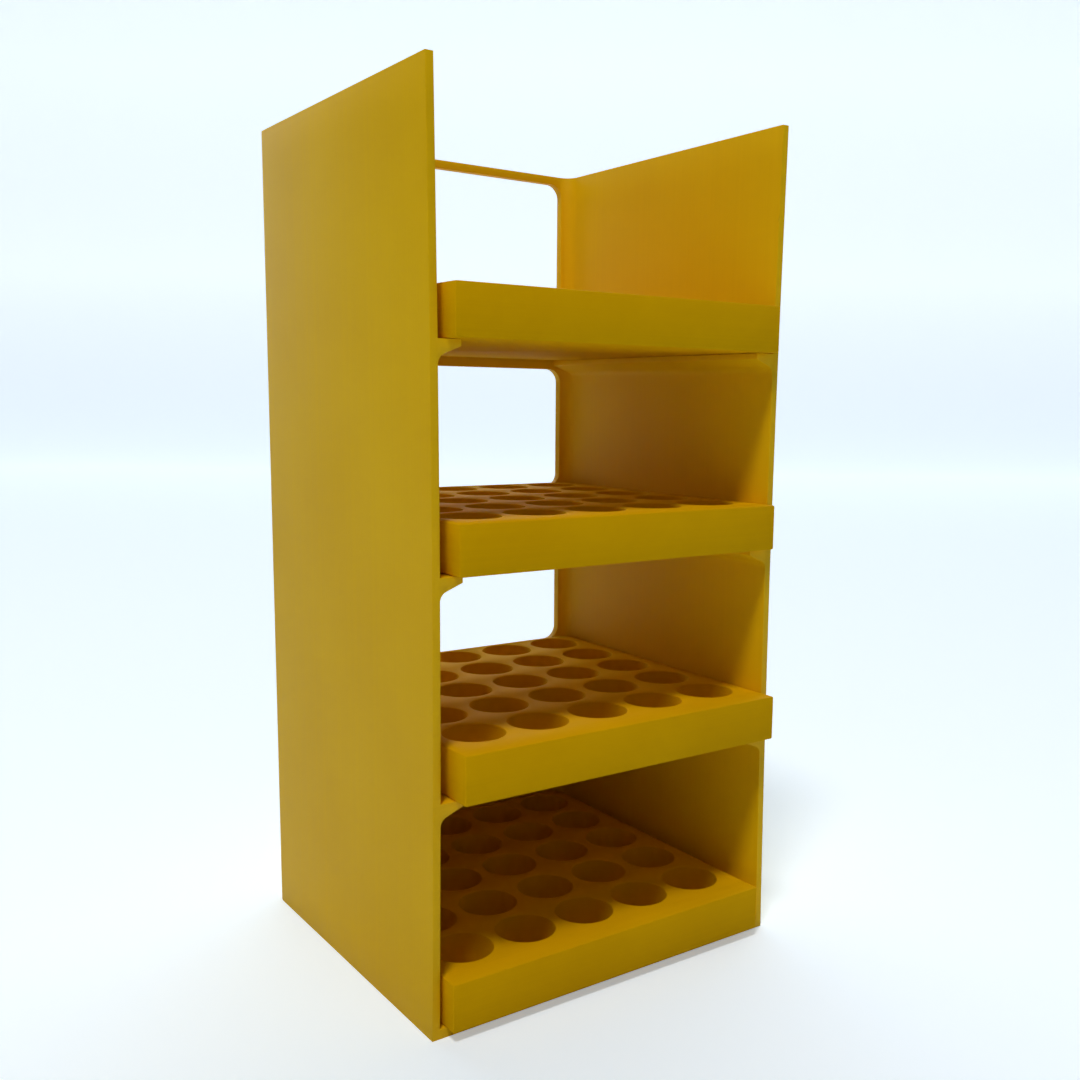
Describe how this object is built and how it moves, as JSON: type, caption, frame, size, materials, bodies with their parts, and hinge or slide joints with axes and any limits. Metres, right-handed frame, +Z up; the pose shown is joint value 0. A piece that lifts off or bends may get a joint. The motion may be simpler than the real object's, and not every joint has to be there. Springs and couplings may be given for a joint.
{
  "type": "microcentrifuge tube rack",
  "caption": "Upright open-front lab rack whose slide-out trays each hold small tubes upright in a square grid of round blind sockets.",
  "frame": {"origin": "middle of the frame's underside, on the surface it stands on", "axes": "+Z up, the open front faces -Y, +X to the right seen from the front"},
  "size_m": [0.086, 0.0842, 0.1783],
  "materials": {
    "frame_plastic": "3D-printed yellow plastic, satin, with fine layer lines",
    "tray_plastic": "3D-printed yellow plastic, satin, with fine layer lines"
  },
  "bodies": {
    "frame": {"frame": "frame_plastic"},
    "tray_1": {"tray_1": "tray_plastic"},
    "tray_2": {"tray_2": "tray_plastic"},
    "tray_3": {"tray_3": "tray_plastic"},
    "tray_4": {"tray_4": "tray_plastic"}
  },
  "joints": [
    {"name": "tray_1_slide", "type": "slide", "parent": "frame", "child": "tray_1", "axis": [0, -1, 0], "range_m": [-0.001, 0.082]},
    {"name": "tray_2_slide", "type": "slide", "parent": "frame", "child": "tray_2", "axis": [0, -1, 0], "range_m": [-0.0002, 0.082]},
    {"name": "tray_3_slide", "type": "slide", "parent": "frame", "child": "tray_3", "axis": [0, -1, 0], "range_m": [-0.0019, 0.082]},
    {"name": "tray_4_slide", "type": "slide", "parent": "frame", "child": "tray_4", "axis": [0, -1, 0], "range_m": [-0.0009, 0.082]}
  ]
}
